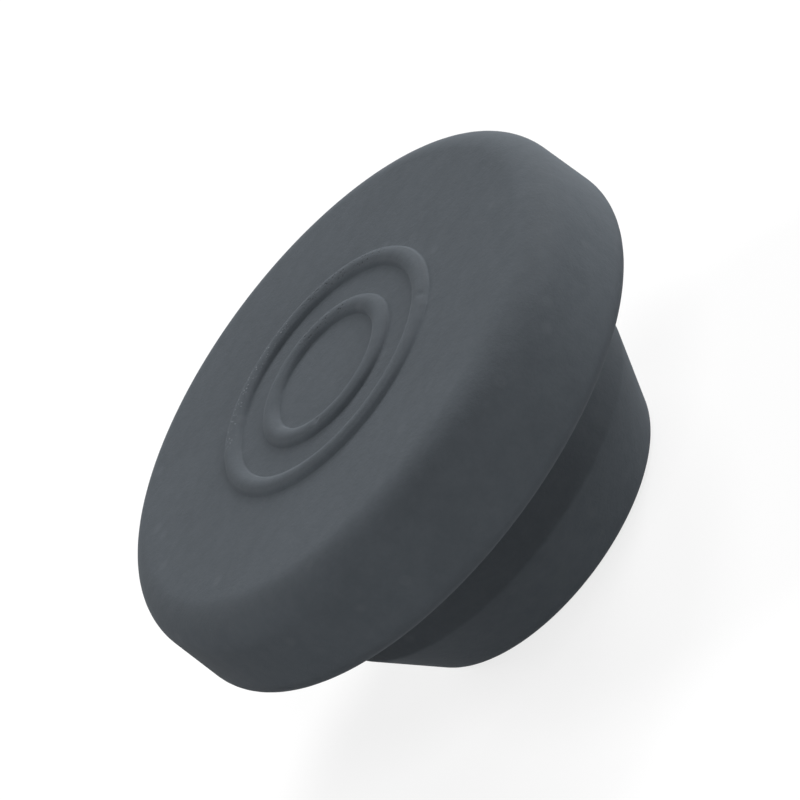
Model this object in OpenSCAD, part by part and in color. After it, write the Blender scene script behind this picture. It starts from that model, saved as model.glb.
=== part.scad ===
// Rubber stopper for a small vial: a round flange with a flat face and a short plug under it.
// It is one moulded piece. It stands on the end of its plug, with the flange on top.
// Its section is drawn once, as corners with a rounding each, and revolved about the Z axis.

/* [Flange] */
// Diameter of the flange, where its side would meet its underside without the rounding
flange_d = 19; // [18:0.5:22]
// Thickness of the flange, from its underside to its face
flange_t = 3.84; // [3:0.02:5]
// How much the flange's radius narrows from its underside to its face, so that it leaves the mould
flange_draft = 0.13; // [0:0.01:0.3]
// Radius of the rounding between the face and the flange's side
face_edge_r = 1.25; // [0.5:0.05:1.5]
// Radius of the rounding between the flange's side and its underside
back_edge_r = 0.83; // [0.3:0.01:1.1]

/* [Plug] */
// Diameter of the plug's straight collar, which seals in the neck of the vial
collar_d = 13.2; // [12:0.1:14]
// Length of the collar, from the flange's underside to the shoulder
collar_l = 2.3; // [1.5:0.1:3.5]
// Radius of the fillet between the collar and the flange's underside
collar_root_r = 0.35; // [0.1:0.05:0.6]
// Radius of the rounding at the shoulder, where the taper starts
shoulder_r = 0.3; // [0.1:0.05:0.8]
// Length of the taper, from the shoulder to the end of the plug
taper_l = 2.8; // [2:0.1:4]
// Diameter of the end of the plug, where the taper would meet it without the rounding
tip_d = 10.24; // [9.6:0.08:11.2]
// Radius of the rounding at the end of the plug
tip_edge_r = 0.78; // [0.3:0.04:0.9]

/* [Recess under the plug] */
// Diameter of the recess at its mouth
recess_d = 7; // [6:0.1:7.4]
// Draft of the recess's wall, in degrees
recess_draft = 3; // [0:0.5:5]
// Radius of the rounding at the mouth of the recess
recess_mouth_r = 0.3; // [0.1:0.05:0.4]
// Radius of the fillet between the recess's wall and its roof
recess_roof_r = 1; // [0.3:0.1:1.4]
// Thickness of the rubber between the recess and the face, which a needle pierces
pierce_t = 3.3; // [2.4:0.1:4.1]

/* [Target rings on the face] */
// Diameter of the inner ring, along the middle of its bead
inner_ring_d = 4.9; // [3:0.1:5]
// Diameter of the outer ring, along the middle of its bead
outer_ring_d = 8.4; // [8:0.1:11]
// Width of a ring's bead, where its flanks would meet the face without the fillets
ring_w = 0.7; // [0.6:0.05:1]
// Height of a ring's bead above the face
ring_h = 0.23; // [0.2:0.01:0.3]
// Radius of the fillet at the foot of a ring
ring_foot_r = 0.05; // [0.05:0.01:0.1]

/* [Hidden] */
$fn = 180;

// How far each arc runs past the two edges that it rounds, so that it crosses them and not just touches
arc_overrun = 0.0002;

// Heights, from the end of the plug that it stands on
shoulder_z = taper_l;
seat_z = shoulder_z + collar_l;
face_z = seat_z + flange_t;
recess_roof_z = face_z - pierce_t;

// Radii
flange_r = flange_d / 2;
collar_r = collar_d / 2;
tip_r = tip_d / 2;
recess_r = recess_d / 2;
recess_roof_edge_r = recess_r - recess_roof_z * tan(recess_draft);

// A ring's bead is round on top. Its flanks stay straight for this share of its height, above the fillets
straight_part = 0.1;
bent_h = ring_h * (1 - straight_part);
ring_flank = atan2(ring_h + ring_foot_r, ring_w / 2)
    + asin((bent_h - ring_foot_r) / norm([ring_w / 2, ring_h + ring_foot_r]));

// How far the flanks would rise to meet each other, and the radius of the round top
ring_peak = ring_w / 2 * tan(ring_flank);
ring_top_r = (ring_peak - ring_h) / (1 / cos(ring_flank) - 1);

// Corners of a ring's bead about its middle radius, outwards: radius and height, rounding
function ring_corners(ring_r) = [
    [[ring_r - ring_w / 2, face_z], ring_foot_r],
    [[ring_r, face_z + ring_peak], ring_top_r],
    [[ring_r + ring_w / 2, face_z], ring_foot_r]
];

// Corners of the half section, clockwise from the middle of the face: radius and height, rounding
corners = [
    [[0, face_z], 0],
    each ring_corners(inner_ring_d / 2),
    each ring_corners(outer_ring_d / 2),
    [[flange_r - flange_draft, face_z], face_edge_r],
    [[flange_r, seat_z], back_edge_r],
    [[collar_r, seat_z], collar_root_r],
    [[collar_r, shoulder_z], shoulder_r],
    [[tip_r, 0], tip_edge_r],
    [[recess_r, 0], recess_mouth_r],
    [[recess_roof_edge_r, recess_roof_z], recess_roof_r],
    [[0, recess_roof_z], 0]
];

// Direction from point a to point b
function way(a, b) = (b - a) / norm(b - a);

// Corner i, its rounding, and the directions of its two edges
function spot(i) = corners[i][0];
function rounding(i) = corners[i][1];
function edge_back(i) = way(spot(i), spot(i - 1));
function edge_on(i) = way(spot(i), spot(i + 1));

// Half the angle between the edges of corner i
function half_angle(i) = acos(edge_back(i) * edge_on(i)) / 2;

// Whether corner i points out of the rubber
function is_outer(i) = cross(-edge_back(i), edge_on(i)) < 0;

// The arc that rounds corner i: its centre, and where it meets the two edges
function inward(i) = way([0, 0], edge_back(i) + edge_on(i)) / sin(half_angle(i));
function centre(i) = spot(i) + inward(i) * (rounding(i) - arc_overrun);
function touch_back(i) = spot(i) + edge_back(i) * rounding(i) / tan(half_angle(i));
function touch_on(i) = spot(i) + edge_on(i) * rounding(i) / tan(half_angle(i));

// What the arc at outer corner i cuts away, with some of the air beyond the corner
module corner_rest(i) {
    middle = centre(i);
    difference() {
        polygon([for (p = [middle, touch_back(i), spot(i), touch_on(i)]) 2 * p - middle]);
        translate(middle) circle(rounding(i));
    }
}

// Half section of the stopper, with the recess open below. Its inner corners are first drawn cut
// straight between the points where their arcs touch
module section() {
    last = len(corners) - 1;
    rounded = [1 : last - 1];
    difference() {
        polygon([
            spot(0),
            for (i = rounded) each is_outer(i) ? [spot(i)] : [touch_back(i), touch_on(i)],
            spot(last)
        ]);
        for (i = rounded) {
            if (is_outer(i)) corner_rest(i);
            else translate(centre(i)) circle(rounding(i));
        }
    }
}

module stopper() {
    color("#565b60") rotate_extrude() section();
}

stopper();
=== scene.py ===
import math

import bmesh
import bpy
from mathutils import Matrix, Vector


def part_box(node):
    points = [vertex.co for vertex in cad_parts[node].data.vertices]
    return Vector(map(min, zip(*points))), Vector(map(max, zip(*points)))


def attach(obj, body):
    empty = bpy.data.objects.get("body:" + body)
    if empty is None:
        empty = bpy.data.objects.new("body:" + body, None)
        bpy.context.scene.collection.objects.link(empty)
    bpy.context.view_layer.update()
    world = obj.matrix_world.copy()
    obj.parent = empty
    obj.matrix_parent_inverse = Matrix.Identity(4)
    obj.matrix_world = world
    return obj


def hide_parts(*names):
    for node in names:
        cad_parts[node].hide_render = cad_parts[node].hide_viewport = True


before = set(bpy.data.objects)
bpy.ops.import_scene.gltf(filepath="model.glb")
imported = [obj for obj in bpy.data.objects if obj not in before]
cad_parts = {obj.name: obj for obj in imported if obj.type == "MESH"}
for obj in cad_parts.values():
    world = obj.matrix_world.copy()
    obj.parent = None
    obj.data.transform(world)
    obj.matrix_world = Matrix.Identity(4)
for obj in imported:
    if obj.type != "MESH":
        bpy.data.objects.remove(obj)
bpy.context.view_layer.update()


# ---- Stopper --------------------------------------------------------------------------------
# One piece of dark grey butyl rubber, pressed in a mould: a thick round flange with two target
# rings raised in its face, and a short plug with a straight collar, a shoulder and a taper. The
# plug is hollow below, so that a needle goes through a thinner wall. Nothing is fixed to it.

MM = 0.001

stopper_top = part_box("stopper")[1].z
ring_h = 0.23 * MM
face_z = stopper_top - ring_h
flange_t = 3.84 * MM
seat_z = face_z - flange_t
collar_l = 2.3 * MM
shoulder_z = seat_z - collar_l
pierce_t = 3.3 * MM
roof_z = face_z - pierce_t

flange_r = 9.5 * MM
flange_draft = 0.13 * MM
face_edge_r = 1.25 * MM
back_edge_r = 0.83 * MM
collar_r = 6.6 * MM
collar_root_r = 0.35 * MM
shoulder_r = 0.3 * MM
tip_r = 5.12 * MM
tip_edge_r = 0.78 * MM
recess_r = 3.5 * MM
recess_draft = math.radians(3)
recess_mouth_r = 0.3 * MM
recess_roof_r = 1 * MM
roof_r = recess_r - roof_z * math.tan(recess_draft)

inner_ring_r = 2.45 * MM
outer_ring_r = 4.2 * MM
ring_w = 0.7 * MM
ring_foot_r = 0.05 * MM

# A ring is a low bead: steep flanks, soft shoulders, and a top with a slight crown.
ring_shoulder = 0.3 * MM
ring_shoulder_h = 0.13 * MM
ring_shoulder_r = 0.17 * MM
ring_peak = 0.27 * MM
ring_top_r = 0.38 * MM


def ring_corners(ring_r):
    """Corners of one ring's bead, outwards: radius, height, rounding, faces round it."""
    return [
        (ring_r - ring_w / 2, face_z, ring_foot_r, 4),
        (ring_r - ring_shoulder, face_z + ring_shoulder_h, ring_shoulder_r, 5),
        (ring_r, face_z + ring_peak, ring_top_r, 10),
        (ring_r + ring_shoulder, face_z + ring_shoulder_h, ring_shoulder_r, 5),
        (ring_r + ring_w / 2, face_z, ring_foot_r, 4),
    ]


# Corners of the half section from the middle of the face outwards, down and in to the recess:
# radius, height, rounding, faces round it.
section = [
    (0, face_z, 0, 0),
    *ring_corners(inner_ring_r),
    *ring_corners(outer_ring_r),
    (flange_r - flange_draft, face_z, face_edge_r, 16),
    (flange_r, seat_z, back_edge_r, 12),
    (collar_r, seat_z, collar_root_r, 8),
    (collar_r, shoulder_z, shoulder_r, 4),
    (tip_r, 0, tip_edge_r, 10),
    (recess_r, 0, recess_mouth_r, 8),
    (roof_r, roof_z, recess_roof_r, 10),
    (0, roof_z, 0, 0),
]

bm = bmesh.new()
corners = [bm.verts.new((r, 0, z)) for r, z, rounding, faces in section]
for start, end in zip(corners, corners[1:]):
    bm.edges.new((start, end))
for corner, (r, z, rounding, faces) in zip(corners, section):
    if rounding:
        to_sides = [edge.other_vert(corner).co - corner.co for edge in corner.link_edges]
        touch = rounding / math.tan(to_sides[0].angle(to_sides[1]) / 2)
        bmesh.ops.bevel(
            bm, geom=[corner], offset=touch, offset_type="OFFSET", segments=faces,
            profile=0.5, affect="VERTICES", material=-1,
        )

# Straight stretches are cut short, so that no face of the mesh is long and thin, and then the
# section is spun round the axis.
STRETCH = 0.26 * MM
FACES_ROUND = 384
SAME_PLACE = 0.0005 * MM
for edge in list(bm.edges):
    cuts = int(edge.calc_length() / STRETCH)
    if cuts:
        bmesh.ops.subdivide_edges(bm, edges=[edge], cuts=cuts)
bmesh.ops.spin(
    bm, geom=bm.verts[:] + bm.edges[:], cent=(0, 0, 0), axis=(0, 0, 1),
    angle=2 * math.pi, steps=FACES_ROUND, use_merge=True,
)
bmesh.ops.remove_doubles(bm, verts=bm.verts, dist=SAME_PLACE)

# Two nicks in the rings, where the stopper came out of the mould: one across the crest of the
# inner ring, and one in the outer flank of the outer ring.
NICK_R = 0.12 * MM
NICK_DEPTH = 0.05 * MM
OFF_CREST = 0.17 * MM
for nick_r, azimuth in ((inner_ring_r, -124), (outer_ring_r + OFF_CREST, -36)):
    nick = Matrix.Rotation(math.radians(azimuth), 4, "Z") @ Vector((nick_r, 0, face_z))
    for vert in bm.verts:
        if vert.co.z >= face_z:
            off = (vert.co - nick).xy.length / NICK_R
            vert.co.z -= min(NICK_DEPTH * math.exp(-off * off), vert.co.z - face_z)
bmesh.ops.recalc_face_normals(bm, faces=bm.faces)

stopper_mesh = bpy.data.meshes.new("moulded_stopper")
bm.to_mesh(stopper_mesh)
bm.free()
stopper_mesh.shade_smooth()
stopper = bpy.data.objects.new("moulded_stopper", stopper_mesh)
bpy.context.scene.collection.objects.link(stopper)


class Wire:
    """The output of a shader node. Arithmetic on it adds the Math nodes that work it out."""

    def __init__(self, tree, socket=None):
        self.tree = tree
        self.socket = socket

    def node(self, kind, settings, inputs, output=0):
        """Add a node: its settings first, then the values or links of its sockets."""
        made = self.tree.nodes.new(kind)
        for name, value in settings.items():
            setattr(made, name, value)
        for name, value in inputs.items():
            if isinstance(value, Wire):
                self.tree.links.new(value.socket, made.inputs[name])
            else:
                made.inputs[name].default_value = value
        return Wire(self.tree, made.outputs[output])

    def beside(self, name):
        """Another output of the same node."""
        return Wire(self.tree, self.socket.node.outputs[name])

    def feed(self, socket):
        """Link this output to the socket of a node that is already there."""
        self.tree.links.new(self.socket, socket)

    def maths(self, operation, *values):
        return self.node("ShaderNodeMath", {"operation": operation}, dict(enumerate(values)))

    def __add__(self, other):
        return self.maths("ADD", self, other)

    def __radd__(self, other):
        return self.maths("ADD", other, self)

    def __sub__(self, other):
        return self.maths("SUBTRACT", self, other)

    def __rsub__(self, other):
        return self.maths("SUBTRACT", other, self)

    def __mul__(self, other):
        return self.maths("MULTIPLY", self, other)

    def __rmul__(self, other):
        return self.maths("MULTIPLY", other, self)

    def slope(self, low, high):
        """0 up to the value low, rising smoothly to 1 at the value high."""
        settings = {"interpolation_type": "SMOOTHSTEP"}
        return self.node("ShaderNodeMapRange", settings, {"Value": self, 1: low, 2: high})

    def between(self, low, high):
        """The colour low where the value is 0, and high where it is 1."""
        settings = {"data_type": "RGBA"}
        return self.node("ShaderNodeMix", settings, {"Factor": self, 6: low, 7: high}, 2)


rubber = bpy.data.materials.new("butyl_rubber")
rubber.use_nodes = True
skin = rubber.node_tree.nodes["Principled BSDF"]
wire = Wire(rubber.node_tree)
place = wire.node("ShaderNodeTexCoord", {}, {}, "Object")


def mottle(size, detail, roughness=0.5):
    """Noise with lumps of about the size given, from 0 to 1."""
    inputs = {"Vector": place, "Scale": 1 / size, "Detail": detail, "Roughness": roughness}
    return wire.node("ShaderNodeTexNoise", {}, inputs)


# The mould is blasted matt, which leaves a fine grain all over, finer and coarser in patches. The
# filler in the rubber shows as a faint mottling under it.
grain = mottle(size=0.13 * MM, detail=3, roughness=0.7)
patches = mottle(size=1.1 * MM, detail=2)
cloud = mottle(size=2.6 * MM, detail=2)
filler = mottle(size=0.5 * MM, detail=4, roughness=0.72)

# Where a point lies on the face: its distance from the axis, and its angle round it in degrees.
ways = wire.node("ShaderNodeSeparateXYZ", {}, {"Vector": place})
ways_y = ways.beside("Y")
radius = wire.maths("SQRT", ways * ways + ways_y * ways_y)
angle = wire.maths("ARCTAN2", ways_y, ways) * math.degrees(1)


def on_ring(ring_r, start, end, blur=12):
    """1 on the top of a ring between two angles, fading out down its flanks and over the blur."""
    off_crest = wire.maths("ABSOLUTE", radius - ring_r)
    off_middle = wire.maths("ABSOLUTE", angle - (start + end) / 2)
    half = (end - start) / 2
    on_top = 1 - off_crest.slope(ring_w / 5, ring_w / 2)
    return on_top * (1 - off_middle.slope(half - blur / 2, half + blur / 2))


def dots(size, share, core=0.15, edge=0.4, step=0.001):
    """Small round dots, one in each cell of the size given, in the share of the cells given."""
    inputs = {"Vector": place, "Scale": 1 / size}
    near = wire.node("ShaderNodeTexVoronoi", {}, inputs, "Distance")
    chance = wire.node("ShaderNodeSeparateColor", {}, {"Color": near.beside("Color")})
    return (1 - near.slope(core, edge)) * chance.slope(1 - share, 1 - share + step)


# The rings come out of the narrowest grooves of the mould. There the skin is a little torn, which
# leaves pits in the top of both rings; their colour is darkened as painted shade in them. Fine
# light specks, standing a little proud, lie along the crest of the outer ring at one side.
SPECKS_OUT = 0.05 * MM
specks = dots(size=0.11 * MM, share=0.55) * on_ring(outer_ring_r + SPECKS_OUT, start=82, end=150)
pits = dots(size=0.13 * MM, share=0.8) * (
    on_ring(outer_ring_r, start=22, end=72) + on_ring(inner_ring_r, start=30, end=84)
)
dust = dots(size=0.7 * MM, share=0.07)

DARK_RUBBER = (0.089, 0.101, 0.114, 1)
PALE_RUBBER = (0.107, 0.121, 0.136, 1)
PALE_SPECK = (0.19, 0.21, 0.23, 1)
# Painted shade for the pits, where shade falls in the tops of the rings:
PAINTED_PIT_SHADE = (0.05, 0.057, 0.064, 1)
shade = cloud.slope(0.3, 0.7) * 0.35 + filler.slope(0.2, 0.8) * 0.65
light_bits = wire.maths("MAXIMUM", specks, dust * 0.12)
lightened = (light_bits * 0.8).between(shade.between(DARK_RUBBER, PALE_RUBBER), PALE_SPECK)
# The pits are darkened in colour: painted shade, on top of their real depth in the relief.
colour = (pits * 0.6).between(lightened, PAINTED_PIT_SHADE)
polish = 0.69 + 0.12 * cloud

# The grain stands out by hundredths of a millimetre, and the pits go in deeper than that.
GRAIN_H = 0.024 * MM
PIT_DEPTH = 2
height = grain * (0.7 + 0.6 * patches) - pits * PIT_DEPTH + specks
relief_inputs = {"Height": height, "Strength": 0.6, "Distance": GRAIN_H}
relief = wire.node("ShaderNodeBump", {}, relief_inputs)
skin.inputs["Diffuse Roughness"].default_value = 1
skin.inputs["Specular IOR Level"].default_value = 0.05
colour.feed(skin.inputs["Base Color"])
polish.feed(skin.inputs["Roughness"])
relief.feed(skin.inputs["Normal"])
stopper_mesh.materials.append(rubber)

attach(stopper, "root")
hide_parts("stopper")


# ---- Floor ----------------------------------------------------------------------------------
# A plain white table top that the stopper stands on, much wider than the light falls.

TABLE_R = 1.0
table_mesh = bpy.data.meshes.new("table_top")
bm = bmesh.new()
bmesh.ops.create_circle(bm, cap_ends=True, segments=96, radius=TABLE_R)
bm.to_mesh(table_mesh)
bm.free()
table = bpy.data.objects.new("table_top", table_mesh)
bpy.context.scene.collection.objects.link(table)

white = bpy.data.materials.new("white_table")
white.use_nodes = True
wire = Wire(white.node_tree)
paint = white.node_tree.nodes["Principled BSDF"]
paint.inputs["Roughness"].default_value = 0.9
paint.inputs["Specular IOR Level"].default_value = 0.1


def seen(wire):
    """1 for the rays that show a surface to the camera, also through a gloss or glass."""
    rays = [wire.node("ShaderNodeLightPath", {}, {}, name)
            for name in ("Is Camera Ray", "Is Glossy Ray", "Is Transmission Ray")]
    return (rays[0] + rays[1] + rays[2]).slope(0, 1)


# What the camera sees of the table is mostly plain white, and a part of it stays lit paint, which
# keeps the stopper's shadow. Only a little light is thrown back from it on to the stopper.
LIT_PART = 0.2
WHITE_PAINT = (0.9, 0.9, 0.9, 1)
THROWN_BACK = (0.18, 0.18, 0.18, 1)
paint_colour = seen(wire).between(THROWN_BACK, WHITE_PAINT)
paint_colour.feed(paint.inputs["Base Color"])
plain_white = wire.node("ShaderNodeEmission", {}, {"Color": (1, 1, 1, 1), "Strength": 1})
lit_paint = Wire(white.node_tree, paint.outputs["BSDF"])
share = seen(wire) * (1 - LIT_PART)
mixed = wire.node("ShaderNodeMixShader", {}, {0: share, 1: lit_paint, 2: plain_white})
mixed.feed(white.node_tree.nodes["Material Output"].inputs["Surface"])
table_mesh.materials.append(white)


# ---- Light ----------------------------------------------------------------------------------
# Six softboxes round the table: three behind it at one side, one at the other, and two weak ones
# in front. They stand in a white room that gives little light of its own.

ROOM_LIGHT = 0.02
world = bpy.data.worlds.new("room")
world.use_nodes = True
wire = Wire(world.node_tree)
room = world.node_tree.nodes["Background"]
room.inputs["Color"].default_value = (1, 1, 1, 1)
room_strength = ROOM_LIGHT + seen(wire) * (1 - ROOM_LIGHT)
room_strength.feed(room.inputs["Strength"])
bpy.context.scene.world = world


def softbox(name, azimuth, elevation, level, width=0.206, distance=0.6):
    """A round lamp that faces the stopper. The level is what it adds to a white card facing it."""
    lamp = bpy.data.lights.new(name, "AREA")
    lamp.shape = "DISK"
    lamp.size = width
    lamp.energy = level * (math.pi * distance) ** 2
    holder = bpy.data.objects.new(name, lamp)
    across = math.cos(math.radians(elevation))
    way = Vector((
        across * math.cos(math.radians(azimuth)),
        across * math.sin(math.radians(azimuth)),
        math.sin(math.radians(elevation)),
    ))
    holder.location = way * distance
    holder.rotation_euler = way.to_track_quat("Z", "Y").to_euler()
    bpy.context.scene.collection.objects.link(holder)


softbox("low_key", azimuth=15, elevation=8, level=0.68)
softbox("key", azimuth=30, elevation=22, level=0.83)
softbox("high_key", azimuth=45, elevation=40, level=0.45)
softbox("back", azimuth=130, elevation=36, level=0.58)
softbox("low_front", azimuth=-80, elevation=5, level=0.3)
softbox("high_front", azimuth=-80, elevation=52, level=0.35, width=0.25)


# ---- Camera ---------------------------------------------------------------------------------
# Looks down on the rim of the flange from close by, leaning over so that the face tilts up left.

FULL_FRAME = 36
LENS = 272.8
camera_place = Vector((0, -168.7, 83.32)) * MM
camera_aim = Vector((0.62, -1.01, 6.85)) * MM
camera_lean = math.radians(-53.3)
camera_data = bpy.data.cameras.new("camera")
camera_data.sensor_width = FULL_FRAME
camera_data.lens = LENS
camera_data.clip_start = 0.01
camera = bpy.data.objects.new("camera", camera_data)
upright = (camera_aim - camera_place).to_track_quat("-Z", "Y").to_matrix().to_4x4()
camera.matrix_world = (
    Matrix.Translation(camera_place) @ upright @ Matrix.Rotation(camera_lean, 4, "Z")
)
bpy.context.scene.collection.objects.link(camera)
bpy.context.scene.camera = camera
bpy.context.scene.view_settings.view_transform = "Standard"
